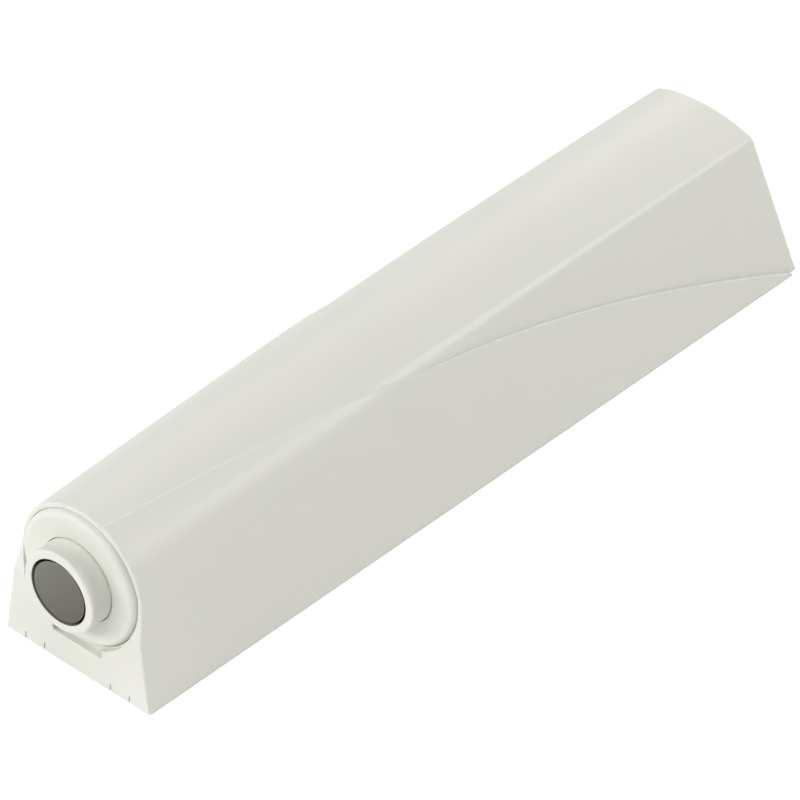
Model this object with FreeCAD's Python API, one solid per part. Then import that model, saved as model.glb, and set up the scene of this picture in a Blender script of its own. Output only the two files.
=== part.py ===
import FreeCAD, Part
import math
import os

from FreeCAD import Vector

# Touch latch in a screw-on housing. Millimetres, drawn with the housing's front face at y = 0,
# the mounting face at z = 0 and the plunger pointing along -Y. The export moves the origin
# to the point between the two screw holes.

# Housing outline
HOUSING_LENGTH = 90.7
FRONT_WIDTH = 18.0
REAR_WIDTH = 18.58
AXIS_HEIGHT = 10.5
TUNNEL_RADIUS = 7.4
REAR_HEIGHT = 18.0
REAR_CROWN_RADIUS = 13.0
REAR_DRAFT = 9.7
SHOULDER_ANGLE_FRONT = 48.0
REAR_SHOULDER_RADIUS = 0.85
SPINE_HUMP = 0.5
REAR_LEAN = 15.07
REAR_ROUND = 0.35
HULL_SECTIONS = 9
WALL = 1.3
INNER_CORNER = 0.8
FRONT_WALL = 3.2
REAR_WALL = 1.5

# Swoosh line that runs down each side, as a side view, and the ledge that it leaves
SWOOSH_START_HEIGHT = 17.57
SWOOSH_NECK_Y = 22.0
SWOOSH_NECK_HEIGHT = 17.11
SWOOSH_BEND_Y = 36.0
SWOOSH_BEND_HEIGHT = 16.04
SWOOSH_FLANK_Y = 59.6
SWOOSH_FLANK_HEIGHT = 11.05
SWOOSH_END_Y = 89.9
SWOOSH_END_HEIGHT = -0.1
LEDGE_FRONT = 0.08
LEDGE_REAR = 0.42

# Front face
SETBACK = 0.7
SETBACK_LOW = 7.6
SETBACK_HIGH = 12.0
SEAT_CLEARANCE = 0.05
SEAT_RIM_WIDTH = 0.22
SEAT_RIM_DEPTH = 0.6
PRY_SLOT_WIDTH = 6.1
PRY_SLOT_HEIGHT = 0.75
PRY_SLOT_LOW = 3.1
PRY_SLOT_DEPTH = 0.65
MARK_INNER_X = 4.13
MARK_OUTER_X = 6.49
MARK_WIDTH = 0.2
MARK_HEIGHT = 0.75
MARK_DEPTH = 0.15
CORNER_ROUND = 0.25

# Mounting plate and its clips
PLATE_THICKNESS = 1.8
PLATE_GAP = 0.1
SCREW_CENTRE_Y = 45.0
SCREW_SPACING = 48.0
SCREW_HOLE_RADIUS = 2.0
SCREW_HEAD_RADIUS = 3.6
CLIP_OFFSET = 33.0
CLIP_WIDTH = 6.0
CLIP_THICKNESS = 0.9
CLIP_NOSE = 0.45
CLIP_HEIGHT = 3.4
CLIP_GAP = 0.1
CRADLE_OFFSET = 14.0
CRADLE_THICKNESS = 1.6
CRADLE_WIDTH = 8.0
CRADLE_HEIGHT = 5.0
SADDLE_SPACING = 30.0
SADDLE_THICKNESS = 1.4
SADDLE_GAP = 0.05

# Cartridge sleeve
FLANGE_RADIUS = 6.95
FLANGE_THICKNESS = 1.5
FLANGE_ROUND = 0.65
FLANGE_INSET = 0.12
SLEEVE_RADIUS = 5.0
SLEEVE_REAR_ROOM = 7.7
SLEEVE_BORE = 4.35
COLLAR_LENGTH = 5.0
BARB_HEIGHT = 0.3
BARB_LENGTH = 1.2
BARB_ANGLE = 24.0

# Plunger
HEAD_RADIUS = 4.25
HEAD_REACH = 2.26
HEAD_LENGTH = 4.46
HEAD_ROUND = 0.2
HEAD_CLEARANCE = 0.08
MAGNET_RADIUS = 3.15
MAGNET_THICKNESS = 2.0
MAGNET_ROUND = 0.1
MAGNET_INSET = 0.05
MAGNET_CLEARANCE = 0.22
POLE_THICKNESS = 0.8
ROD_RADIUS = 3.1
ROD_CLEARANCE = 0.08
ROD_BORE = 1.9
ROD_BORE_START = 12.0
ROD_SPIGOT_RADIUS = 1.6
ROD_SPIGOT_LENGTH = 1.2
STROKE = 37.0
PRESS_TRAVEL = 2.0
STOP_GAP = 0.15
BOTTOM_GAP = 0.3

# Index mechanism
GROOVE_COUNT = 4
GUIDE_OUTER_RADIUS = 4.3
GUIDE_GROOVE_RADIUS = 3.75
GUIDE_GROOVE_ANGLE = 42.0
GUIDE_RAMP = 1.1
GUIDE_KEY_RADIUS = 4.9
GUIDE_KEY_WIDTH = 2.0
GUIDE_KEY_LENGTH = 4.0
KEY_CLEARANCE = 0.1
TAB_RADIUS = 3.65
TAB_ANGLE = 34.0
TAB_LENGTH = 1.7
TOOTH_COUNT = 8
TOOTH_HEIGHT = 0.9
TOOTH_GAP = 0.1
LATCH_GAP = 0.1
ROTOR_RADIUS = 3.05
ROTOR_LENGTH = 4.0
ROTOR_SPIGOT_RADIUS = 1.82
ROTOR_SPIGOT_LENGTH = 6.0
ROTOR_BORE = 0.9
LUG_LENGTH = 2.8
SEAT_SPIGOT_RADIUS = 1.9
SEAT_SPIGOT_LENGTH = 2.2

# Spring and end cap
SPRING_WIRE = 0.6
WIRE_SIDES = 8
SPRING_MEAN_RADIUS = 2.4
SPRING_TURNS = 15
SPRING_SEAT_GAP = 0.05
CAP_PLUG_LENGTH = 2.0
CAP_RIM_THICKNESS = 1.4
CAP_LUG_REACH = 0.6
CAP_LUG_WIDTH = 2.0
CAP_LUG_LENGTH = 1.0

# Places along the axis that several pieces share
FLANGE_BACK = FLANGE_INSET + FLANGE_THICKNESS
HEAD_FRONT = -HEAD_REACH
HEAD_BACK = HEAD_FRONT + HEAD_LENGTH
COLLAR_FRONT = HEAD_BACK + PRESS_TRAVEL + BOTTOM_GAP
COLLAR_BACK = COLLAR_FRONT + COLLAR_LENGTH
TAB_FRONT = COLLAR_BACK + STROKE + STOP_GAP
TAB_BACK = TAB_FRONT + TAB_LENGTH
CROWN_TIP = TAB_BACK + TOOTH_HEIGHT
ROTOR_TIP = CROWN_TIP + TOOTH_GAP
ROTOR_FRONT = ROTOR_TIP + TOOTH_HEIGHT
ROTOR_BACK = ROTOR_FRONT + ROTOR_LENGTH
GUIDE_FRONT = COLLAR_BACK
GUIDE_BACK = ROTOR_FRONT - LATCH_GAP
SPRING_FRONT = ROTOR_BACK + SPRING_SEAT_GAP
SLEEVE_END = HOUSING_LENGTH - SLEEVE_REAR_ROOM
CAP_PLUG_FRONT = SLEEVE_END - CAP_PLUG_LENGTH
PITCH_ANGLE = 360.0 / GROOVE_COUNT

# Room that a cut needs beyond the face that it starts from
REACH = 1.0
OUTSIDE = 40.0


def box(x0, x1, y0, y1, z0, z1):
    return Part.makeBox(x1 - x0, y1 - y0, z1 - z0, Vector(x0, y0, z0))


def prism_along_x(points, x0, x1):
    """Extrude an outline of (y, z) points from x0 to x1."""
    corners = [Vector(x0, y, z) for y, z in points]
    outline = Part.makePolygon(corners + corners[:1])
    return Part.Face(outline).extrude(Vector(x1 - x0, 0, 0))


def prism_along_y(points, y0, y1):
    """Extrude an outline of (x, z) points from y0 to y1."""
    corners = [Vector(x, y0, z) for x, z in points]
    outline = Part.makePolygon(corners + corners[:1])
    return Part.Face(outline).extrude(Vector(0, y1 - y0, 0))


def cylinder(radius, y0, y1):
    """A cylinder on the Y axis."""
    return Part.makeCylinder(radius, y1 - y0, Vector(0, y0, 0), Vector(0, 1, 0))


def turned(profile):
    """Revolve a closed outline of (radius, y) points about the Y axis."""
    corners = [Vector(radius, y, 0) for radius, y in profile]
    outline = Part.makePolygon(corners + corners[:1])
    return Part.Face(outline).revolve(Vector(0, 0, 0), Vector(0, 1, 0), 360)


def sector(inner, outer, y0, y1, angle, width):
    """A piece of a tube wall, width degrees wide, centred at angle about the Y axis."""
    half = math.radians(width / 2)
    far = outer * 2
    wedge = prism_along_y([(0, 0), (far, -far * math.tan(half)), (far, far * math.tan(half))], y0, y1)
    ring = cylinder(outer, y0, y1).cut(cylinder(inner, y0, y1))
    return spun(ring.common(wedge), angle)


def spun(shape, angle):
    turned_shape = shape.copy()
    turned_shape.rotate(Vector(0, 0, 0), Vector(0, 1, 0), angle)
    return turned_shape


def on_axis(shape):
    """Lift a piece that was drawn on the Y axis to the cartridge's axis."""
    return shape.translated(Vector(0, 0, AXIS_HEIGHT))


def blend(front, rear, share):
    return front + (rear - front) * share


def ledge_at(y):
    return blend(LEDGE_FRONT, LEDGE_REAR, y / HOUSING_LENGTH)


def half_width_at(y):
    """Half the upper body's width at the foot, inside the ledge."""
    return blend(FRONT_WIDTH, REAR_WIDTH, y / HOUSING_LENGTH) / 2 - ledge_at(y)


def rear_shoulder_angle():
    """Where the rear's shoulder arc meets the crown arc, so that it has its own radius."""
    draft = math.radians(REAR_DRAFT)
    half = half_width_at(HOUSING_LENGTH)
    centre_z = REAR_HEIGHT - REAR_CROWN_RADIUS
    side = half * math.cos(draft) - centre_z * math.sin(draft)
    spread = (side - REAR_SHOULDER_RADIUS) / (REAR_CROWN_RADIUS - REAR_SHOULDER_RADIUS)
    return draft + math.acos(spread)


class Section:
    """The housing's cross-section at one y: drafted sides, shoulder arcs and a crown arc, all tangent.

    offset moves the whole outline outwards, or inwards when negative."""

    def __init__(self, y, offset=0.0):
        share = y / HOUSING_LENGTH
        half = half_width_at(y)
        front_height = AXIS_HEIGHT + TUNNEL_RADIUS
        hump = 4 * SPINE_HUMP * share * (1 - share)
        reach = math.hypot(half, AXIS_HEIGHT)
        front_draft = math.acos(TUNNEL_RADIUS / reach) - math.atan2(AXIS_HEIGHT, half)
        self.y = y
        self.draft = blend(front_draft, math.radians(REAR_DRAFT), share)
        crown = blend(TUNNEL_RADIUS, REAR_CROWN_RADIUS, share)
        self.centre_z = blend(front_height, REAR_HEIGHT, share) + hump - crown
        side = half * math.cos(self.draft) - self.centre_z * math.sin(self.draft)
        self.start = blend(math.radians(SHOULDER_ANGLE_FRONT), rear_shoulder_angle(), share)
        spread = math.cos(self.start - self.draft)
        shoulder = (side - crown * spread) / (1 - spread) + offset
        crown += offset
        side += offset
        if shoulder < INNER_CORNER and offset < 0:
            shoulder = INNER_CORNER
            self.start = self.draft + math.acos((side - shoulder) / (crown - shoulder))
        self.crown = crown
        self.shoulder = shoulder
        self.base_x = half + offset / math.cos(self.draft)

    def shoulder_centre(self):
        distance = self.crown - self.shoulder
        return distance * math.cos(self.start), self.centre_z + distance * math.sin(self.start)

    def shoulder_point(self, angle):
        x, z = self.shoulder_centre()
        return x + self.shoulder * math.cos(angle), z + self.shoulder * math.sin(angle)

    def side_x(self, z):
        return self.base_x - z * math.tan(self.draft)

    def wire(self, low):
        """The closed outline down to the height low."""
        foot = (self.side_x(low), low)
        waist = self.shoulder_point(self.draft)
        middle = self.shoulder_point((self.draft + self.start) / 2)
        top = self.shoulder_point(self.start)
        crown = (0, self.centre_z + self.crown)
        right = [Vector(x, self.y, z) for x, z in (foot, waist, middle, top)]
        left = [Vector(-x, self.y, z) for x, z in (top, middle, waist, foot)]
        peak = Vector(crown[0], self.y, crown[1])
        edges = [
            Part.makeLine(right[0], right[1]),
            Part.Arc(right[1], right[2], right[3]).toShape(),
            Part.Arc(right[3], peak, left[0]).toShape(),
            Part.Arc(left[0], left[1], left[2]).toShape(),
            Part.makeLine(left[2], left[3]),
            Part.makeLine(left[3], right[0]),
        ]
        return Part.Wire(edges)


def hull(front, rear, low, offset_at):
    """Loft the sections from front to rear."""
    steps = [blend(front, rear, index / (HULL_SECTIONS - 1)) for index in range(HULL_SECTIONS)]
    return Part.makeLoft([Section(y, offset_at(y)).wire(low) for y in steps], True, False)


def under_swoosh():
    """The space under the swoosh line, as wide as the housing."""
    points = [
        Vector(-OUTSIDE, 0, SWOOSH_START_HEIGHT),
        Vector(-OUTSIDE, SWOOSH_NECK_Y, SWOOSH_NECK_HEIGHT),
        Vector(-OUTSIDE, SWOOSH_BEND_Y, SWOOSH_BEND_HEIGHT),
        Vector(-OUTSIDE, SWOOSH_FLANK_Y, SWOOSH_FLANK_HEIGHT),
        Vector(-OUTSIDE, SWOOSH_END_Y, SWOOSH_END_HEIGHT),
    ]
    line = Part.BSplineCurve()
    line.interpolate(points)
    front_top = points[0]
    rear_top = points[-1]
    front_low = Vector(-OUTSIDE, 0, -OUTSIDE)
    rear_low = Vector(-OUTSIDE, SWOOSH_END_Y, -OUTSIDE)
    outline = Part.Wire([
        line.toShape(),
        Part.makeLine(rear_top, rear_low),
        Part.makeLine(rear_low, front_low),
        Part.makeLine(front_low, front_top),
    ])
    return Part.Face(outline).extrude(Vector(2 * OUTSIDE, 0, 0))


def behind_rear_face(inset):
    """All that lies behind the leaning rear face, moved inwards by inset."""
    slope = math.tan(math.radians(REAR_LEAN))
    shift = inset / math.cos(math.radians(REAR_LEAN))
    low_y = HOUSING_LENGTH - shift + OUTSIDE * slope
    high_y = HOUSING_LENGTH - shift - OUTSIDE * slope
    far = HOUSING_LENGTH + OUTSIDE
    return prism_along_x([(low_y, -OUTSIDE), (far, -OUTSIDE), (far, OUTSIDE), (high_y, OUTSIDE)],
                         -OUTSIDE, OUTSIDE)


def outer_body():
    """The upper body and, a ledge wider, the part below the swoosh line."""
    upper = hull(0, HOUSING_LENGTH, -REACH, lambda y: 0.0)
    lower = hull(0, HOUSING_LENGTH, -REACH, ledge_at).common(under_swoosh())
    body = upper.fuse(lower).cut(behind_rear_face(0))
    body = body.cut(box(-OUTSIDE, OUTSIDE, -REACH, HOUSING_LENGTH + REACH, -OUTSIDE, 0))
    return body.cut(before_setback()).removeSplitter()


def before_setback():
    """All that lies in front of the set-back upper face, which swings forward to the foot in a wide arc."""
    rise = SETBACK_HIGH - SETBACK_LOW
    radius = (rise * rise + SETBACK * SETBACK) / (2 * SETBACK)
    swing = math.asin(rise / radius) / 2
    low = Vector(-OUTSIDE, 0, SETBACK_LOW)
    middle_y = SETBACK - radius * (1 - math.cos(swing))
    middle_z = SETBACK_HIGH - radius * math.sin(swing)
    high = Vector(-OUTSIDE, SETBACK, SETBACK_HIGH)
    corners = [high, Vector(-OUTSIDE, SETBACK, OUTSIDE), Vector(-OUTSIDE, -REACH, OUTSIDE),
               Vector(-OUTSIDE, -REACH, SETBACK_LOW), low]
    edges = [Part.makeLine(start, end) for start, end in zip(corners, corners[1:])]
    middle = Vector(-OUTSIDE, middle_y, middle_z)
    outline = Part.Wire([Part.Arc(low, middle, high).toShape()] + edges)
    return Part.Face(outline).extrude(Vector(2 * OUTSIDE, 0, 0))


def hollow(low):
    """The space inside the walls."""
    space = hull(FRONT_WALL, HOUSING_LENGTH, low, lambda y: -WALL)
    return space.cut(behind_rear_face(REAR_WALL))


def saddle(y):
    """A rib that hangs from the roof and holds the upper half of the sleeve."""
    half = SADDLE_THICKNESS / 2
    rib = hollow(-REACH).common(box(-OUTSIDE, OUTSIDE, y - half, y + half, AXIS_HEIGHT, OUTSIDE))
    return rib.cut(on_axis(cylinder(SLEEVE_RADIUS + SADDLE_GAP, y - REACH, y + REACH)))


def clip_face_x(y):
    """Where a clip's outer face stands, beside the housing's inner wall at the plate."""
    return Section(y, -WALL).side_x(PLATE_THICKNESS + CLIP_HEIGHT) - CLIP_NOSE - CLIP_GAP


def catch(y, side):
    """A ledge on the housing's inner wall, over which a clip snaps."""
    wall_x = Section(y, -WALL / 2).side_x(0)
    low = PLATE_THICKNESS + CLIP_HEIGHT / 2 - CLIP_NOSE
    high = low + 2 * CLIP_NOSE
    tip = clip_face_x(y) + CLIP_GAP
    outline = [(tip, high), (wall_x, high), (wall_x, low - CLIP_NOSE), (tip, low)]
    half = CLIP_WIDTH / 2
    wedge = prism_along_y([(side * x, z) for x, z in outline], y - half, y + half)
    return wedge.common(outer_body())


def clip(y, side):
    """A springy tongue on the plate, with a nose that hooks over the catch."""
    face = clip_face_x(y)
    top = PLATE_THICKNESS + CLIP_HEIGHT
    nose_low = PLATE_THICKNESS + CLIP_HEIGHT / 2 + CLIP_NOSE + CLIP_GAP
    nose_high = nose_low + CLIP_NOSE
    outline = [(face, PLATE_THICKNESS / 2), (face, nose_low), (face + CLIP_NOSE, nose_low),
               (face + CLIP_NOSE, nose_high), (face, top), (face - CLIP_THICKNESS, top),
               (face - CLIP_THICKNESS, PLATE_THICKNESS / 2)]
    half = CLIP_WIDTH / 2 - CLIP_GAP
    return prism_along_y([(side * x, z) for x, z in outline], y - half, y + half)


def clip_places():
    return [(SCREW_CENTRE_Y + end * CLIP_OFFSET, side) for end in (-1, 1) for side in (-1, 1)]


def alignment_mark(x):
    half = MARK_WIDTH / 2
    return box(x - half, x + half, -REACH, MARK_DEPTH, -REACH, MARK_HEIGHT)


def rounded_corners(body):
    """Round the side edges and the rim of the front face, and the whole rim of the rear face."""
    front_end = SETBACK + CORNER_ROUND
    rear_start = HOUSING_LENGTH - REAR_HEIGHT / 2
    front_edges = [edge for edge in body.Edges
                   if edge.BoundBox.YMax < front_end and edge.BoundBox.ZLength > CORNER_ROUND]
    body = body.makeFillet(CORNER_ROUND, front_edges)
    rear_edges = [edge for edge in body.Edges
                  if edge.BoundBox.YMin > rear_start and edge.BoundBox.ZMax > REAR_ROUND]
    return body.makeFillet(REAR_ROUND, rear_edges)


def housing():
    body = rounded_corners(outer_body()).cut(hollow(-REACH))
    half_slot = PRY_SLOT_WIDTH / 2
    body = body.cut(on_axis(cylinder(FLANGE_RADIUS + SEAT_RIM_WIDTH, -REACH, SEAT_RIM_DEPTH)))
    body = body.cut(on_axis(cylinder(FLANGE_RADIUS + SEAT_CLEARANCE, -REACH, FLANGE_BACK)))
    body = body.cut(on_axis(cylinder(SLEEVE_RADIUS + SADDLE_GAP, 0, FRONT_WALL + REACH)))
    body = body.cut(box(-half_slot, half_slot, -REACH, PRY_SLOT_DEPTH,
                        PRY_SLOT_LOW, PRY_SLOT_LOW + PRY_SLOT_HEIGHT))
    for x in (MARK_INNER_X, MARK_OUTER_X):
        body = body.cut(alignment_mark(x))
        body = body.cut(alignment_mark(-x))
    for step in (-1, 0, 1):
        body = body.fuse(saddle(SCREW_CENTRE_Y + step * SADDLE_SPACING))
    for y, side in clip_places():
        body = body.fuse(catch(y, side))
    return body


def cradle(y):
    """A rib on the plate that carries the sleeve from below."""
    half = CRADLE_THICKNESS / 2
    rib = box(-CRADLE_WIDTH / 2, CRADLE_WIDTH / 2, y - half, y + half,
              PLATE_THICKNESS / 2, PLATE_THICKNESS + CRADLE_HEIGHT)
    return rib.cut(on_axis(cylinder(SLEEVE_RADIUS + SADDLE_GAP, y - REACH, y + REACH)))


def screw_hole(y):
    """A countersunk hole for a flat-headed screw."""
    sink = SCREW_HEAD_RADIUS - SCREW_HOLE_RADIUS
    outline = [(0, -REACH), (SCREW_HOLE_RADIUS, -REACH), (SCREW_HOLE_RADIUS, PLATE_THICKNESS - sink),
               (SCREW_HEAD_RADIUS, PLATE_THICKNESS), (SCREW_HEAD_RADIUS, PLATE_THICKNESS + REACH),
               (0, PLATE_THICKNESS + REACH)]
    hole = turned(outline)
    hole.rotate(Vector(0, 0, 0), Vector(1, 0, 0), 90)
    return hole.translated(Vector(0, y, 0))


def mounting_plate():
    floor = hull(FRONT_WALL + PLATE_GAP, HOUSING_LENGTH, 0, lambda y: -WALL - PLATE_GAP)
    floor = floor.cut(behind_rear_face(REAR_WALL + PLATE_GAP))
    plate = floor.common(box(-OUTSIDE, OUTSIDE, 0, HOUSING_LENGTH, 0, PLATE_THICKNESS))
    for end in (-1, 1):
        plate = plate.fuse(cradle(SCREW_CENTRE_Y + end * CRADLE_OFFSET))
    for y, side in clip_places():
        plate = plate.fuse(clip(y, side))
    for end in (-1, 1):
        plate = plate.cut(screw_hole(SCREW_CENTRE_Y + end * SCREW_SPACING / 2))
    return plate


def barb(angle):
    """A retaining wedge on the sleeve, just behind the housing's front wall."""
    start = FRONT_WALL + SADDLE_GAP
    outer = SLEEVE_RADIUS + BARB_HEIGHT
    ring = turned([(SLEEVE_BORE + BARB_HEIGHT, start), (outer, start), (SLEEVE_RADIUS, start + BARB_LENGTH),
                   (SLEEVE_BORE + BARB_HEIGHT, start + BARB_LENGTH)])
    return ring.common(sector(SLEEVE_BORE, outer + REACH, start - REACH, start + BARB_LENGTH + REACH,
                              angle, BARB_ANGLE))


def guide_key_place():
    """Start and end of the key that stops the guide sleeve from turning."""
    middle = (GUIDE_FRONT + GUIDE_BACK) / 2
    return middle - GUIDE_KEY_LENGTH / 2, middle + GUIDE_KEY_LENGTH / 2


def cap_lug_place():
    middle = SLEEVE_END - CAP_PLUG_LENGTH / 2
    return middle - CAP_LUG_LENGTH / 2, middle + CAP_LUG_LENGTH / 2


def cartridge_sleeve():
    flange = cylinder(FLANGE_RADIUS, FLANGE_INSET, FLANGE_BACK)
    front_edges = [edge for edge in flange.Edges if edge.BoundBox.YMax < FLANGE_BACK - FLANGE_THICKNESS / 2]
    flange = flange.makeFillet(FLANGE_ROUND, front_edges)
    sleeve = flange.fuse(cylinder(SLEEVE_RADIUS, FLANGE_BACK, SLEEVE_END))
    for angle in (0, 180):
        sleeve = sleeve.fuse(barb(angle))
    sleeve = sleeve.cut(cylinder(HEAD_RADIUS + HEAD_CLEARANCE, 0, COLLAR_FRONT))
    sleeve = sleeve.cut(cylinder(ROD_RADIUS + ROD_CLEARANCE, 0, SLEEVE_END))
    sleeve = sleeve.cut(cylinder(SLEEVE_BORE, COLLAR_BACK, SLEEVE_END + REACH))
    key_front, key_back = guide_key_place()
    half_key = GUIDE_KEY_WIDTH / 2 + KEY_CLEARANCE
    sleeve = sleeve.cut(box(-half_key, half_key, key_front - KEY_CLEARANCE, key_back + KEY_CLEARANCE,
                            -OUTSIDE, 0))
    lug_front, lug_back = cap_lug_place()
    half_lug = CAP_LUG_WIDTH / 2 + KEY_CLEARANCE
    sleeve = sleeve.cut(box(-OUTSIDE, OUTSIDE, lug_front - KEY_CLEARANCE, lug_back + KEY_CLEARANCE,
                            -half_lug, half_lug))
    return on_axis(sleeve)


def ramp_cutter(inner, outer, width, tip, depth):
    """A wedge, pointing along +X, that slopes the end of a rib or lug from tip to tip + depth."""
    points = [(tip, -width / 2), (tip, width / 2), (tip + depth, width / 2)]
    return prism_along_x(points, inner, outer)


def guide_sleeve():
    """The tube with inner ribs on whose ends the index rotor's lugs rest."""
    sleeve = cylinder(GUIDE_OUTER_RADIUS, GUIDE_FRONT, GUIDE_BACK)
    rib_inner = ROD_RADIUS + ROD_CLEARANCE
    sleeve = sleeve.cut(cylinder(rib_inner, GUIDE_FRONT - REACH, GUIDE_BACK + REACH))
    rib_width = 2 * GUIDE_GROOVE_RADIUS * math.tan(math.radians(PITCH_ANGLE - GUIDE_GROOVE_ANGLE) / 2)
    for index in range(GROOVE_COUNT):
        groove = sector(rib_inner / 2, GUIDE_GROOVE_RADIUS, GUIDE_FRONT - REACH, GUIDE_BACK + REACH,
                        index * PITCH_ANGLE, GUIDE_GROOVE_ANGLE)
        sleeve = sleeve.cut(groove)
        ramp = ramp_cutter(rib_inner / 2, GUIDE_GROOVE_RADIUS, rib_width, GUIDE_BACK, -GUIDE_RAMP)
        sleeve = sleeve.cut(spun(ramp, (index + 0.5) * PITCH_ANGLE))
    key_front, key_back = guide_key_place()
    half_key = GUIDE_KEY_WIDTH / 2
    key_root = (GUIDE_GROOVE_RADIUS + GUIDE_OUTER_RADIUS) / 2
    key = box(-half_key, half_key, key_front, key_back, -GUIDE_KEY_RADIUS, -key_root)
    return on_axis(sleeve.fuse(key))


def face_teeth(inner, outer, root, tip):
    """A ring of saw teeth that stand along Y from root to tip."""
    low, high = min(root, tip), max(root, tip)
    ring = cylinder(outer, low, high).cut(cylinder(inner, low, high))
    pitch = math.pi * (inner + outer) / TOOTH_COUNT
    beyond = tip + (tip - root)
    notch_width = pitch * (beyond - root) / (tip - root)
    notch = prism_along_x([(root, -pitch / 2), (beyond, -pitch / 2), (beyond, notch_width - pitch / 2)],
                          0, outer + REACH)
    for index in range(TOOTH_COUNT):
        ring = ring.cut(spun(notch, index * 360.0 / TOOTH_COUNT))
    return ring


def plunger_rod():
    """The hollow rod: a spigot for the head, tabs that run in the grooves and a toothed end."""
    rod = cylinder(ROD_RADIUS, HEAD_BACK, TAB_BACK)
    rod = rod.fuse(cylinder(ROD_SPIGOT_RADIUS, HEAD_BACK - ROD_SPIGOT_LENGTH, HEAD_BACK + REACH))
    for index in range(GROOVE_COUNT):
        rod = rod.fuse(sector(ROD_BORE, TAB_RADIUS, TAB_FRONT, TAB_BACK,
                              index * PITCH_ANGLE, TAB_ANGLE))
    rod = rod.fuse(face_teeth(ROD_BORE, ROTOR_RADIUS, TAB_BACK, CROWN_TIP))
    rod = rod.cut(cylinder(ROD_BORE, ROD_BORE_START, CROWN_TIP + REACH))
    return on_axis(rod)


def magnet_back():
    return HEAD_FRONT + MAGNET_INSET + MAGNET_THICKNESS


def plunger_head():
    """The cup that holds the magnet and its pole plate."""
    head = cylinder(HEAD_RADIUS, HEAD_FRONT, HEAD_BACK)
    front_edges = [edge for edge in head.Edges if edge.BoundBox.YMax < HEAD_FRONT + HEAD_ROUND]
    head = head.makeFillet(HEAD_ROUND, front_edges)
    pocket = cylinder(MAGNET_RADIUS + MAGNET_CLEARANCE, HEAD_FRONT - REACH, magnet_back() + POLE_THICKNESS)
    socket = cylinder(ROD_SPIGOT_RADIUS, HEAD_BACK - ROD_SPIGOT_LENGTH, HEAD_BACK + REACH)
    return on_axis(head.cut(pocket).cut(socket))


def magnet():
    disc = cylinder(MAGNET_RADIUS, HEAD_FRONT + MAGNET_INSET, magnet_back())
    front_edges = [edge for edge in disc.Edges if edge.BoundBox.YMax < HEAD_FRONT + MAGNET_THICKNESS / 2]
    return on_axis(disc.makeFillet(MAGNET_ROUND, front_edges))


def pole_plate():
    return on_axis(cylinder(MAGNET_RADIUS, magnet_back(), magnet_back() + POLE_THICKNESS))


def index_rotor():
    """The rotor that turns one step at each press: its lugs rest on the ribs or run in the grooves."""
    rotor = cylinder(ROTOR_RADIUS, ROTOR_FRONT, ROTOR_BACK)
    rotor = rotor.fuse(face_teeth(ROD_BORE, ROTOR_RADIUS, ROTOR_FRONT, ROTOR_TIP))
    lug_width = 2 * TAB_RADIUS * math.tan(math.radians(TAB_ANGLE) / 2)
    for index in range(GROOVE_COUNT):
        lug = sector(ROD_BORE, TAB_RADIUS, ROTOR_FRONT, ROTOR_FRONT + LUG_LENGTH, 0, TAB_ANGLE)
        lug = lug.cut(ramp_cutter(ROTOR_RADIUS, TAB_RADIUS + REACH, lug_width, ROTOR_FRONT, GUIDE_RAMP))
        rotor = rotor.fuse(spun(lug, index * PITCH_ANGLE))
    rotor = rotor.fuse(cylinder(ROTOR_SPIGOT_RADIUS, ROTOR_FRONT - ROTOR_SPIGOT_LENGTH, ROTOR_FRONT + REACH))
    rotor = rotor.fuse(cylinder(SEAT_SPIGOT_RADIUS, ROTOR_BACK - REACH, ROTOR_BACK + SEAT_SPIGOT_LENGTH))
    rotor = rotor.cut(cylinder(ROTOR_BORE, 0, ROTOR_BACK + SEAT_SPIGOT_LENGTH + REACH))
    return on_axis(rotor)


def wire_section(centre, heading):
    """The spring wire's outline, across heading: an even polygon as large as the round wire."""
    heading.normalize()
    inward = Vector(centre).normalize()
    across = heading.cross(inward)
    step = 2 * math.pi / WIRE_SIDES
    radius = SPRING_WIRE / 2 * math.sqrt(step / math.sin(step))
    angles = [(index + 0.5) * step for index in range(WIRE_SIDES)]
    corners = [centre + inward * (radius * math.cos(angle)) + across * (radius * math.sin(angle))
               for angle in angles]
    return Part.makePolygon(corners + corners[:1])


def main_spring():
    """A coil spring with ground ends, between the rotor's shoulder and the end cap."""
    length = CAP_PLUG_FRONT - SPRING_SEAT_GAP - SPRING_FRONT
    pitch = length / SPRING_TURNS
    helix = Part.makeHelix(pitch, length, SPRING_MEAN_RADIUS)
    start = Vector(SPRING_MEAN_RADIUS, 0, 0)
    heading = Vector(0, 2 * math.pi * SPRING_MEAN_RADIUS, pitch)
    coil = Part.Wire(helix.Edges).makePipeShell([wire_section(start, heading)], True, True)
    coil = coil.common(Part.makeCylinder(2 * SPRING_MEAN_RADIUS, length))
    coil.rotate(Vector(0, 0, 0), Vector(1, 0, 0), -90)
    return on_axis(coil.translated(Vector(0, SPRING_FRONT, 0)))


def end_cap():
    """The plug that closes the sleeve, with a spigot for the spring and two snap lugs."""
    cap = cylinder(SLEEVE_RADIUS, SLEEVE_END, SLEEVE_END + CAP_RIM_THICKNESS)
    cap = cap.fuse(cylinder(GUIDE_OUTER_RADIUS, CAP_PLUG_FRONT, SLEEVE_END + REACH))
    cap = cap.fuse(cylinder(SEAT_SPIGOT_RADIUS, CAP_PLUG_FRONT - SEAT_SPIGOT_LENGTH, SLEEVE_END))
    front, back = cap_lug_place()
    reach = GUIDE_OUTER_RADIUS + CAP_LUG_REACH
    half = CAP_LUG_WIDTH / 2
    cap = cap.fuse(box(-reach, reach, front, back, -half, half))
    return on_axis(cap)


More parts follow.
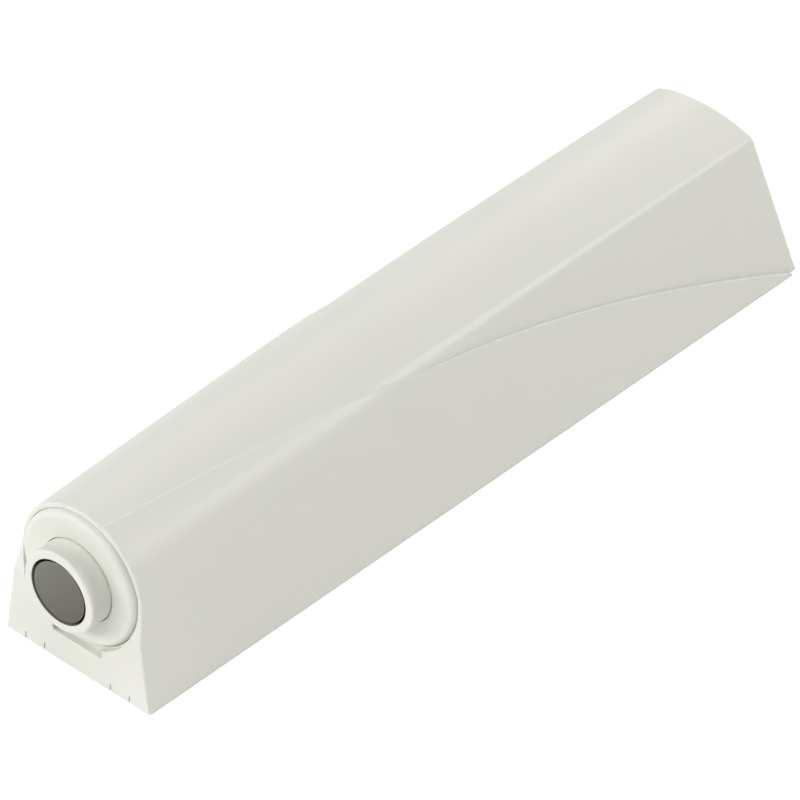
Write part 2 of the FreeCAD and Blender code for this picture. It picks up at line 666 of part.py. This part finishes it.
def whole(shape):
    """Clean the faces that a chain of cuts leaves split, and check that one sound solid is left."""
    tidy = shape.removeSplitter()
    solids = tidy.Solids
    if len(solids) != 1 or not solids[0].isValid():
        raise ValueError("a piece isn't one sound solid")
    return solids[0]


PIECES = {
    "housing": housing,
    "mounting_plate": mounting_plate,
    "cartridge_sleeve": cartridge_sleeve,
    "guide_sleeve": guide_sleeve,
    "end_cap": end_cap,
    "main_spring": main_spring,
    "plunger_rod": plunger_rod,
    "plunger_head": plunger_head,
    "magnet": magnet,
    "pole_plate": pole_plate,
    "index_rotor": index_rotor,
}


def main():
    os.makedirs("parts", exist_ok=True)
    to_origin = Vector(0, -SCREW_CENTRE_Y, 0)
    for name, make in PIECES.items():
        piece = whole(make()).translated(to_origin)
        piece.exportStep("parts/" + name + ".step")
        bounds = piece.BoundBox
        print(name, round(piece.Volume, 1), "mm3",
              [round(value, 2) for value in (bounds.XMin, bounds.XMax, bounds.YMin, bounds.YMax,
                                             bounds.ZMin, bounds.ZMax)])


main()
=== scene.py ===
# %% [markdown]
# A touch latch for a cabinet door, dressed for its picture.
# The solids come ready from the construction model: a long white moulded housing, a ring-shaped flange
# in its front face and a plunger with a round magnet. This lesson gives them their camera, their light
# and their surfaces, and builds the one piece that has to bend, the spring. All lengths are in metres.

# %% Load the solids
import bmesh
import bpy
import math
from mathutils import Matrix, Vector


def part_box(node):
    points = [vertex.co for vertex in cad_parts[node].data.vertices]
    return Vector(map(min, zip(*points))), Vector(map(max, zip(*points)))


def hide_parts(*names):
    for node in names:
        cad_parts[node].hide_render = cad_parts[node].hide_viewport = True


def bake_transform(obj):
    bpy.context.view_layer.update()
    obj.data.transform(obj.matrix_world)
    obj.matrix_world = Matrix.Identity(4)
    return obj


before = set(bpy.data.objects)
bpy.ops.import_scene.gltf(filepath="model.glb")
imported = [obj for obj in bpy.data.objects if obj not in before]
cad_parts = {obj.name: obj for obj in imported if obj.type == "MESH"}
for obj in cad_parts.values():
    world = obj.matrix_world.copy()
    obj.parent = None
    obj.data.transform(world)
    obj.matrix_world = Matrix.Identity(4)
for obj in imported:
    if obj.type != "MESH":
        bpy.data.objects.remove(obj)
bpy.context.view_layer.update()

MM = 0.001
print("solids:", sorted(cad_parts))

# %% [markdown]
# The camera looks down on the latch from its front right, from far away through a long lens, so
# the long edges stay nearly parallel. Its place was worked out from the latch's straight edges
# and round rims in the photograph. It could be placed by hand, but then each edge would be a
# little off, so the angles, the distance and the lens are set as numbers.

# %% Camera
CAMERA_AZIMUTH = math.radians(41.3198)
CAMERA_ELEVATION = math.radians(38.5566)
CAMERA_ROLL = math.radians(1.4661)
CAMERA_DISTANCE = 614.66 * MM
CAMERA_TARGET = Vector((5.725, -8.544, 13.170)) * MM
SENSOR_WIDTH = 36.0
LENS = 302.510


def looking_at(azimuth, elevation, roll, distance, target):
    """The place and turn of a camera or light that looks at target from azimuth and elevation."""
    back = Vector((math.sin(azimuth) * math.cos(elevation),
                   -math.cos(azimuth) * math.cos(elevation),
                   math.sin(elevation)))
    right = (-back).cross(Vector((0, 0, 1))).normalized()
    up = back.cross(right)
    across = right * math.cos(roll) + up * math.sin(roll)
    upright = up * math.cos(roll) - right * math.sin(roll)
    turn = Matrix((across, upright, back)).transposed().to_4x4()
    return Matrix.Translation(target + back * distance) @ turn


camera_data = bpy.data.cameras.new("camera")
camera_data.sensor_width = SENSOR_WIDTH
camera_data.lens = LENS
camera = bpy.data.objects.new("camera", camera_data)
camera.matrix_world = looking_at(
    CAMERA_AZIMUTH, CAMERA_ELEVATION, CAMERA_ROLL, CAMERA_DISTANCE, CAMERA_TARGET)
bpy.context.collection.objects.link(camera)
bpy.context.scene.camera = camera
print("camera at mm:", [round(v / MM, 1) for v in camera.matrix_world.translation])

# %% [markdown]
# The picture's tones are even and pale. The standard view keeps them as the light gives them.
# A filmic view would grey the whites.

# %% View transform
bpy.context.scene.view_settings.view_transform = "Standard"
print("view transform:", bpy.context.scene.view_settings.view_transform)

# %% [markdown]
# Materials here are node trees that a script builds. Small helpers keep that readable: one starts
# an empty material, one adds a node together with its values, and one adds the shader. The solids'
# plain stand-in materials are cleared first, so that their names are free.

# %% Node helpers
for stand_in in list(bpy.data.materials):
    bpy.data.materials.remove(stand_in)


def new_material(name):
    """A node material with an empty tree, and its tree."""
    material = bpy.data.materials.new(name)
    material.use_nodes = True
    material.node_tree.nodes.clear()
    return material, material.node_tree


def add(tree, kind, **values):
    """A new node, with values for its inputs by name, or for its own settings."""
    node = tree.nodes.new(kind)
    for name, value in values.items():
        if name in node.inputs:
            node.inputs[name].default_value = value
        else:
            setattr(node, name, value)
    return node


def principled(tree):
    """The shader and the output that every finish here ends in."""
    shader = add(tree, "ShaderNodeBsdfPrincipled")
    output = add(tree, "ShaderNodeOutputMaterial")
    tree.links.new(shader.outputs["BSDF"], output.inputs["Surface"])
    return shader


def grey(value):
    """A neutral colour."""
    return (value, value, value, 1)


print("helpers: new_material, add, principled, grey")

# %% [markdown]
# The floor is a white light table: plain, matt and a little bright by itself, so that it stays
# white round the latch and fills its lower sides with soft light. The camera sees it a touch
# brighter than the latch does, so that it stays white without washing out the latch's sides.

# %% Floor
FLOOR_SIZE = 3.0
FLOOR_DROP = 0.05 * MM
FLOOR_TONE = 0.9
FLOOR_ROUGHNESS = 0.9
FLOOR_GLOW = 0.145
FLOOR_SEEN = 0.21


def light_table():
    """The floor's material: matt white with a glow of its own."""
    material, tree = new_material("light_table")
    shader = principled(tree)
    shader.inputs["Base Color"].default_value = grey(FLOOR_TONE)
    shader.inputs["Roughness"].default_value = FLOOR_ROUGHNESS
    shader.inputs["Specular IOR Level"].default_value = 0.0
    shader.inputs["Emission Strength"].default_value = 1.0
    seen = add(tree, "ShaderNodeLightPath")
    glow = add(tree, "ShaderNodeMixRGB", Color1=grey(FLOOR_GLOW), Color2=grey(FLOOR_SEEN))
    tree.links.new(seen.outputs["Is Camera Ray"], glow.inputs["Fac"])
    tree.links.new(glow.outputs["Color"], shader.inputs["Emission Color"])
    return material


half = FLOOR_SIZE / 2
floor_corners = [(-half, -half, 0), (half, -half, 0), (half, half, 0), (-half, half, 0)]
floor_mesh = bpy.data.meshes.new("floor")
floor_mesh.from_pydata(floor_corners, [], [(0, 1, 2, 3)])
floor_mesh.materials.append(light_table())
floor = bpy.data.objects.new("floor", floor_mesh)
floor.location.z = -FLOOR_DROP
bpy.context.collection.objects.link(floor)
print("floor:", FLOOR_SIZE, "m square")

# %% [markdown]
# A faint sky gives an even base of light from all round. Where the camera looks past the floor it
# sees the same sky as plain white, which a light path node can tell apart.

# %% Sky
SKY_STRENGTH = 0.1
SKY_SEEN = 1.0


def pale_sky():
    """A world that lights softly and is white where the camera looks past the floor."""
    world = bpy.data.worlds.new("sky")
    world.use_nodes = True
    tree = world.node_tree
    seen = add(tree, "ShaderNodeLightPath")
    strength = add(tree, "ShaderNodeMapRange")
    strength.inputs["To Min"].default_value = SKY_STRENGTH
    strength.inputs["To Max"].default_value = SKY_SEEN
    background = tree.nodes["Background"]
    background.inputs["Color"].default_value = grey(1)
    tree.links.new(seen.outputs["Is Camera Ray"], strength.inputs["Value"])
    tree.links.new(strength.outputs["Result"], background.inputs["Strength"])
    return world


bpy.context.scene.world = pale_sky()
print("sky:", SKY_STRENGTH, "seen as", SKY_SEEN)

# %% [markdown]
# Soft boxes stand where the latch's own shading shows them: its front and left are brightest, two
# boxes behind it light the housing's long back, and two smaller ones behind it on the right draw
# the line on its shoulder. One big light would be simpler, but it would leave that line out.

# %% Soft boxes
BOX_DISTANCE = 0.9
WIDE = 0.3
MIDDLE = 0.22
NARROW = 0.16
SOFT_BOXES = {
    "front_high": (0, 33, 1.95, WIDE),
    "front_left": (-23, 26, 1.17, MIDDLE),
    "front_left_low": (-38, 16, 1.31, MIDDLE),
    "left": (-60, 33, 1.41, WIDE),
    "rear_left_low": (-150, 10, 2.55, WIDE),
    "rear_high": (180, 33, 1.5, WIDE),
    "rear_right": (135, 28, 1.92, NARROW),
    "rear_right_high": (135, 42, 0.85, NARROW),
    "right_high": (45, 58, 1.32, WIDE),
    "above": (0, 86, 1.42, WIDE),
}


def soft_box(name, azimuth, elevation, power, size):
    """A square area light that faces the latch: angles in degrees, power in watts."""
    data = bpy.data.lights.new(name, "AREA")
    data.shape = "SQUARE"
    data.size = size
    data.energy = power
    light = bpy.data.objects.new(name, data)
    light.matrix_world = looking_at(math.radians(azimuth), math.radians(elevation), 0, BOX_DISTANCE, Vector())
    bpy.context.collection.objects.link(light)


for name, (azimuth, elevation, power, size) in SOFT_BOXES.items():
    soft_box(name, azimuth, elevation, power, size)
    print("soft box:", name, azimuth, elevation, power, size)

# %% [markdown]
# A node group is an effect with named inputs and outputs that several materials can share. Both
# groups below let a noise push a tone and a roughness a little up and down, because no moulded or
# rolled surface is quite even, so that part is a helper.

# %% Group helpers
NOISE_MIDDLE = 0.5


def new_group(name, inputs, outputs):
    """A shader node group with named sockets; inputs and outputs are lists of (name, kind)."""
    group = bpy.data.node_groups.new(name, "ShaderNodeTree")
    for label, kind in inputs:
        group.interface.new_socket(label, in_out="INPUT", socket_type=kind)
    for label, kind in outputs:
        group.interface.new_socket(label, in_out="OUTPUT", socket_type=kind)
    return group, group.nodes.new("NodeGroupInput"), group.nodes.new("NodeGroupOutput")


def drift(group, given, result, noise, amount):
    """Let noise push the given tone, by the input named amount, and the given roughness."""
    link = group.links.new
    centred = add(group, "ShaderNodeMath", operation="SUBTRACT")
    centred.inputs[1].default_value = NOISE_MIDDLE
    factor = add(group, "ShaderNodeMath", operation="MULTIPLY_ADD")
    factor.inputs[2].default_value = 1.0
    tone = add(group, "ShaderNodeVectorMath", operation="SCALE")
    roughness = add(group, "ShaderNodeMath", operation="MULTIPLY_ADD")
    link(noise.outputs["Fac"], centred.inputs[0])
    link(centred.outputs[0], factor.inputs[0])
    link(given.outputs[amount], factor.inputs[1])
    link(given.outputs["Tone"], tone.inputs[0])
    link(factor.outputs[0], tone.inputs["Scale"])
    link(tone.outputs[0], result.inputs["Color"])
    link(centred.outputs[0], roughness.inputs[0])
    link(given.outputs["Roughness Drift"], roughness.inputs[1])
    link(given.outputs["Roughness"], roughness.inputs[2])
    link(roughness.outputs[0], result.inputs["Roughness"])


SKIN_OUTPUTS = [("Color", "NodeSocketColor"), ("Roughness", "NodeSocketFloat"), ("Height", "NodeSocketFloat")]
print("every skin gives:", [label for label, kind in SKIN_OUTPUTS])

# %% [markdown]
# Every plastic piece comes out of a steel mould, and all have the same kind of skin: a tone that
# drifts in wide clouds over the piece, a sheen that is never quite even, and the mould's fine
# grain. An image could show that too, but noise has no seams and works on every shape.

# %% Moulded skin


def moulded_skin():
    """Cloudy tone, uneven roughness and fine grain, over object coordinates."""
    group, given, result = new_group(
        "moulded_skin",
        [("Tone", "NodeSocketColor"), ("Cloud", "NodeSocketFloat"), ("Clouds a Metre", "NodeSocketFloat"),
         ("Roughness", "NodeSocketFloat"), ("Roughness Drift", "NodeSocketFloat"),
         ("Grains a Metre", "NodeSocketFloat")],
        SKIN_OUTPUTS)
    link = group.links.new
    place = add(group, "ShaderNodeTexCoord")
    cloud = add(group, "ShaderNodeTexNoise", Detail=3.0, Roughness=0.6)
    link(place.outputs["Object"], cloud.inputs["Vector"])
    link(given.outputs["Clouds a Metre"], cloud.inputs["Scale"])
    drift(group, given, result, cloud, "Cloud")
    grain = add(group, "ShaderNodeTexNoise", Detail=2.0, Roughness=0.5)
    link(place.outputs["Object"], grain.inputs["Vector"])
    link(given.outputs["Grains a Metre"], grain.inputs["Scale"])
    link(grain.outputs["Fac"], result.inputs["Height"])
    return group


SKIN = moulded_skin()
print("group:", SKIN.name, [item.name for item in SKIN.interface.items_tree])

# %% [markdown]
# The metal pieces are drawn or rolled, which leaves fine lines in one direction. Noise that is
# stretched along one axis gives such lines, again as one group with its own values for each metal.

# %% Drawn metal


def drawn_metal():
    """Fine lines in one direction, in tone, roughness and height."""
    group, given, result = new_group(
        "drawn_metal",
        [("Tone", "NodeSocketColor"), ("Lines", "NodeSocketFloat"), ("Stretch", "NodeSocketVector"),
         ("Roughness", "NodeSocketFloat"), ("Roughness Drift", "NodeSocketFloat")],
        SKIN_OUTPUTS)
    link = group.links.new
    place = add(group, "ShaderNodeTexCoord")
    stretched = add(group, "ShaderNodeVectorMath", operation="MULTIPLY")
    link(place.outputs["Object"], stretched.inputs[0])
    link(given.outputs["Stretch"], stretched.inputs[1])
    lines = add(group, "ShaderNodeTexNoise", Scale=1.0, Detail=4.0, Roughness=0.65)
    link(stretched.outputs[0], lines.inputs["Vector"])
    drift(group, given, result, lines, "Lines")
    link(lines.outputs["Fac"], result.inputs["Height"])
    return group


DRAWN = drawn_metal()
print("group:", DRAWN.name, [item.name for item in DRAWN.interface.items_tree])

# %% [markdown]
# Each finish is a material of its own: the group gives what changes over the surface, and the
# shader keeps what is the same all over, such as whether it is a metal. The sizes of clouds and
# grain are the same in all plastics, since they come from the same kind of mould.

# %% Plastics and metals
CLOUD = 0.03
CLOUDS_A_METRE = 60.0
GRAINS_A_METRE = 6000.0
PLASTIC_DRIFT = 0.12
GRAIN_DEPTH = 0.004 * MM
GRAIN_STRENGTH = 0.6
LINES = 0.3
METAL_DRIFT = 0.25
LINE_DEPTH = 0.003 * MM
LINE_STRENGTH = 0.5


def finish_with(name, group, values, metallic, depth, strength):
    """A material that joins one group, with its values, to a shader and a bump."""
    material, tree = new_material(name)
    shader = principled(tree)
    shader.inputs["Metallic"].default_value = metallic
    skin = add(tree, "ShaderNodeGroup", node_tree=group)
    for label, value in values.items():
        skin.inputs[label].default_value = value
    bump = add(tree, "ShaderNodeBump", Distance=depth, Strength=strength)
    tree.links.new(skin.outputs["Color"], shader.inputs["Base Color"])
    tree.links.new(skin.outputs["Roughness"], shader.inputs["Roughness"])
    tree.links.new(skin.outputs["Height"], bump.inputs["Height"])
    tree.links.new(bump.outputs["Normal"], shader.inputs["Normal"])
    return material


def plastic(name, tone, roughness):
    """A moulded plastic of one tone."""
    values = {"Tone": tone, "Cloud": CLOUD, "Clouds a Metre": CLOUDS_A_METRE, "Roughness": roughness,
              "Roughness Drift": PLASTIC_DRIFT, "Grains a Metre": GRAINS_A_METRE}
    return finish_with(name, SKIN, values, 0.0, GRAIN_DEPTH, GRAIN_STRENGTH)


def metal(name, tone, stretch, roughness):
    """A metal whose lines are as close along each axis as stretch says."""
    values = {"Tone": tone, "Lines": LINES, "Stretch": stretch, "Roughness": roughness,
              "Roughness Drift": METAL_DRIFT}
    return finish_with(name, DRAWN, values, 1.0, LINE_DEPTH, LINE_STRENGTH)


print("kinds of finish: plastic, metal")

# %% [markdown]
# The outer pieces share one warm white, as they do in the photograph. The pieces inside are a
# guess: natural white and light grey plastics that slide well, bright steel for the spring and
# rolled grey steel behind the magnet. The magnet is a fine-grained ferrite, here in its darker
# tone. Sliding pieces are a little smoother, since they are moulded to run.

# %% Finishes
IVORY = (0.70, 0.70, 0.644, 1)
GUIDE_WHITE = (0.74, 0.73, 0.68, 1)
CAP_WHITE = (0.74, 0.74, 0.71, 1)
ROTOR_GREY = (0.6, 0.6, 0.58, 1)
MAGNET_SHADED_BROWN = (0.150, 0.141, 0.122, 1)
POLE_GREY = (0.55, 0.55, 0.56, 1)
SPRING_GREY = (0.6, 0.61, 0.62, 1)
OUTER_ROUGHNESS = 0.42
SLIDING_ROUGHNESS = 0.36
EVEN_GRAIN = (4000, 4000, 4000)
EVEN_LINES = (3000, 3000, 3000)
ROLLED_LINES = (400, 400, 9000)
FINISHES = {
    "housing": plastic("housing_plastic", IVORY, roughness=OUTER_ROUGHNESS),
    "mounting_plate": plastic("plate_plastic", IVORY, roughness=0.5),
    "cartridge_sleeve": plastic("sleeve_plastic", IVORY, roughness=OUTER_ROUGHNESS),
    "guide_sleeve": plastic("guide_plastic", GUIDE_WHITE, roughness=0.35),
    "end_cap": plastic("cap_plastic", CAP_WHITE, roughness=0.4),
    "plunger_rod": plastic("rod_plastic", IVORY, roughness=SLIDING_ROUGHNESS),
    "plunger_head": plastic("head_plastic", IVORY, roughness=OUTER_ROUGHNESS),
    "index_rotor": plastic("rotor_plastic", ROTOR_GREY, roughness=SLIDING_ROUGHNESS),
    "magnet": metal("magnet_ferrite", MAGNET_SHADED_BROWN, EVEN_GRAIN, roughness=0.4),
    "pole_plate": metal("pole_steel", POLE_GREY, ROLLED_LINES, roughness=0.35),
    "main_spring": metal("spring_steel", SPRING_GREY, EVEN_LINES, roughness=0.35),
}
for name, material in FINISHES.items():
    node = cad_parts[name]
    node.data.materials.clear()
    node.data.materials.append(material)
    print("finish:", name, "-", material.name)

# %% [markdown]
# The main spring has to get longer and shorter as the plunger runs, and a solid can't. So a coil
# of round wire in mesh code stands for it: rings of points along a helix, flat where the ends are
# ground. A curve with a bevel would be shorter to write, but its ends couldn't be ground flat.

# %% Coil of wire
SPRING_WIRE = 0.6 * MM
SPRING_TURNS = 15
STEPS_A_TURN = 32
WIRE_SIDES = 12


def wire_rings(mesh, low, high):
    """Rings of points round the wire's middle line, which climbs along Y from low to high."""
    middle = (low + high) / 2
    coil = (high.x - low.x - SPRING_WIRE) / 2
    climb = (high.y - low.y) / (2 * math.pi * SPRING_TURNS)
    rings = []
    for step in range(SPRING_TURNS * STEPS_A_TURN + 1):
        turn = 2 * math.pi * step / STEPS_A_TURN
        outward = Vector((math.cos(turn), 0, math.sin(turn)))
        heading = Vector((-coil * math.sin(turn), climb, coil * math.cos(turn))).normalized()
        across = heading.cross(outward)
        centre = Vector((middle.x, low.y + climb * turn, middle.z)) + outward * coil
        ring = []
        for side in range(WIRE_SIDES):
            around = 2 * math.pi * side / WIRE_SIDES
            point = centre + (outward * math.cos(around) + across * math.sin(around)) * (SPRING_WIRE / 2)
            point.y = min(max(point.y, low.y), high.y)
            ring.append(mesh.verts.new(point))
        rings.append(ring)
    return rings


def coil_spring(name, low, high):
    """A piece of one round wire, coiled inside the box from low to high."""
    mesh = bmesh.new()
    rings = wire_rings(mesh, low, high)
    for near, far in zip(rings, rings[1:]):
        for side in range(WIRE_SIDES):
            after = (side + 1) % WIRE_SIDES
            mesh.faces.new((near[side], near[after], far[after], far[side]))
    mesh.faces.new(rings[0])
    mesh.faces.new(rings[-1])
    bmesh.ops.recalc_face_normals(mesh, faces=mesh.faces)
    data = bpy.data.meshes.new(name)
    mesh.to_mesh(data)
    mesh.free()
    data.polygons.foreach_set("use_smooth", [True] * len(data.polygons))
    piece = bpy.data.objects.new(name, data)
    bpy.context.collection.objects.link(piece)
    return piece


spring_low, spring_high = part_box("main_spring")
spring = coil_spring("main_spring_coil", spring_low, spring_high)
print("spring:", SPRING_TURNS, "turns,", len(spring.data.polygons), "faces")

# %% [markdown]
# In the latch the spring's rear end stays with the housing and its front end goes with the plunger.
# Here the coil gets the spring steel's finish and stands in for the solid spring, which is hidden,
# and its place is baked into its points.

# %% Main spring
spring.data.materials.append(FINISHES["main_spring"])
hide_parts("main_spring")
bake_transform(spring)
print("spring blends over mm:", round((spring_high.y - spring_low.y) / MM, 2))

# %% [markdown]
# Some places need a second tone over a finish. A mix between the finish's own colour and the new
# one does it, steered by a mask, and a ramp makes such a mask out of a distance.

# %% Tone helpers


def ramp(tree, value, start, end, top=1.0):
    """A number that goes from 0 to top as value goes from start to end."""
    share = add(tree, "ShaderNodeMapRange")
    share.inputs["From Min"].default_value = start
    share.inputs["From Max"].default_value = end
    share.inputs["To Max"].default_value = top
    tree.links.new(value, share.inputs["Value"])
    return share.outputs["Result"]


def lay_over(material, mask, tone):
    """Lay tone over a finish where mask, an output in its tree, is 1."""
    tree = material.node_tree
    shader = next(node for node in tree.nodes if node.type == "BSDF_PRINCIPLED")
    plain = shader.inputs["Base Color"].links[0].from_socket
    mix = add(tree, "ShaderNodeMixRGB", Color2=tone)
    tree.links.new(mask, mix.inputs["Fac"])
    tree.links.new(plain, mix.inputs["Color1"])
    tree.links.new(mix.outputs["Color"], shader.inputs["Base Color"])


print("helpers: ramp, lay_over")

# %% [markdown]
# A dark seam runs round the magnet: painted shade in the narrow gap between the disc and its cup,
# near black on the disc's edge and the plate behind it, and grey on the cup's wall. Three pieces meet
# there, so one group finds the seam for all of them, by the distance from the plunger's axis. The
# shading alone would leave the cup's white wall too bright. The table says where each piece's tone
# starts to change and where it is full, measured outward from the magnet's edge, so the cup's wall
# is dark up to just inside its rim.

# %% Painted shade round the magnet
# Painted shade: near black on the magnet's edge and the plate behind it, grey on the cup's wall.
SEAM_SHADOW_BLACK = (0.012, 0.012, 0.011, 1)
PAINTED_SHADE = (0.24, 0.24, 0.215, 1)
PAINTED_SEAM_SHADE = {
    "magnet": (-0.04 * MM, -0.01 * MM, SEAM_SHADOW_BLACK),
    "pole_plate": (-0.15 * MM, 0.0, SEAM_SHADOW_BLACK),
    "plunger_head": (0.25 * MM, 0.23 * MM, PAINTED_SHADE),
}
magnet_low, magnet_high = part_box("magnet")
magnet_radius = (magnet_high.x - magnet_low.x) / 2
axis_height = (magnet_low.z + magnet_high.z) / 2


def ring_mask():
    """A mask that goes from 0 to 1 between two distances from the plunger's axis."""
    group, given, result = new_group(
        "ring_mask",
        [("Start", "NodeSocketFloat"), ("End", "NodeSocketFloat")],
        [("Mask", "NodeSocketFloat")])
    link = group.links.new
    place = add(group, "ShaderNodeTexCoord")
    centred = add(group, "ShaderNodeVectorMath", operation="SUBTRACT")
    centred.inputs[1].default_value = (0, 0, axis_height)
    flat = add(group, "ShaderNodeVectorMath", operation="MULTIPLY")
    flat.inputs[1].default_value = (1, 0, 1)
    away = add(group, "ShaderNodeVectorMath", operation="LENGTH")
    share = add(group, "ShaderNodeMapRange")
    link(place.outputs["Object"], centred.inputs[0])
    link(centred.outputs[0], flat.inputs[0])
    link(flat.outputs[0], away.inputs[0])
    link(away.outputs["Value"], share.inputs["Value"])
    link(given.outputs["Start"], share.inputs["From Min"])
    link(given.outputs["End"], share.inputs["From Max"])
    link(share.outputs["Result"], result.inputs["Mask"])
    return group


def paint_ring_shade(material, start, end, tone):
    """Paint shade, a dark tone, over a finish from start to end, measured from the plunger's axis."""
    mask = add(material.node_tree, "ShaderNodeGroup", node_tree=RING)
    mask.inputs["Start"].default_value = start
    mask.inputs["End"].default_value = end
    lay_over(material, mask.outputs["Mask"], tone)


RING = ring_mask()
for name, (start, end, tone) in PAINTED_SEAM_SHADE.items():
    paint_ring_shade(FINISHES[name], magnet_radius + start, magnet_radius + end, tone)
    print("seam on:", name, "- mm from the magnet's edge:", round(start / MM, 2), round(end / MM, 2))

# %% [markdown]
# A thin grey line runs along the housing's foot, behind the front face, where the wall meets the
# cabinet: a painted contact shadow. A mask by height finds it, and a second one by length keeps it
# off the front face.

# %% Painted shadow along the foot
FOOT_SHADOW_HEIGHT = 0.16 * MM
FOOT_SHADOW_SHARE = 0.3
LINE_START = 0.1 * MM
LINE_FULL = 0.4 * MM


def paint_foot_shadow(material, front):
    """Mix a little painted shadow into the lowest sliver of a finish, behind the front face at front."""
    tree = material.node_tree
    place = add(tree, "ShaderNodeTexCoord")
    axes = add(tree, "ShaderNodeSeparateXYZ")
    both = add(tree, "ShaderNodeMath", operation="MULTIPLY")
    tree.links.new(place.outputs["Object"], axes.inputs["Vector"])
    low = ramp(tree, axes.outputs["Z"], FOOT_SHADOW_HEIGHT, 0.0, FOOT_SHADOW_SHARE)
    behind = ramp(tree, axes.outputs["Y"], front + LINE_START, front + LINE_FULL)
    tree.links.new(low, both.inputs[0])
    tree.links.new(behind, both.inputs[1])
    lay_over(material, both.outputs[0], PAINTED_SHADE)


housing_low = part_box("housing")[0]
paint_foot_shadow(FINISHES["housing"], housing_low.y)
print("line along the foot, mm high:", round(FOOT_SHADOW_HEIGHT / MM, 2))

# %% [markdown]
# The magnet's face isn't one grey: it is painted lighter and greener at its upper left, where the
# light falls, and browner at its lower right, a painted highlight and shade. A slope across the face
# mixes the two tones. A light could do that too, but it would reach the white plastic beside the
# magnet as well.

# %% Painted light across the magnet
# The upper tone is a painted highlight, the lower one the shaded brown.
MAGNET_LIT_GREEN = (0.211, 0.211, 0.184, 1)
TOWARDS_LIGHT = Vector((-0.77, 0, 0.64))


def paint_light_slope(material, lower, upper):
    """Feed the finish's tone with a painted slope of light, a mix of two tones from lower to upper."""
    tree = material.node_tree
    skin = next(node for node in tree.nodes if node.type == "GROUP" and "Tone" in node.inputs)
    place = add(tree, "ShaderNodeTexCoord")
    along = add(tree, "ShaderNodeVectorMath", operation="DOT_PRODUCT")
    along.inputs[1].default_value = TOWARDS_LIGHT
    mix = add(tree, "ShaderNodeMixRGB", Color1=lower, Color2=upper)
    middle = TOWARDS_LIGHT.z * axis_height
    share = ramp(tree, along.outputs["Value"], middle - magnet_radius, middle + magnet_radius)
    tree.links.new(place.outputs["Object"], along.inputs[0])
    tree.links.new(share, mix.inputs["Fac"])
    tree.links.new(mix.outputs["Color"], skin.inputs["Tone"])


paint_light_slope(FINISHES["magnet"], MAGNET_SHADED_BROWN, MAGNET_LIT_GREEN)
print("slope on the magnet, from", MAGNET_SHADED_BROWN[:3], "to", MAGNET_LIT_GREEN[:3])
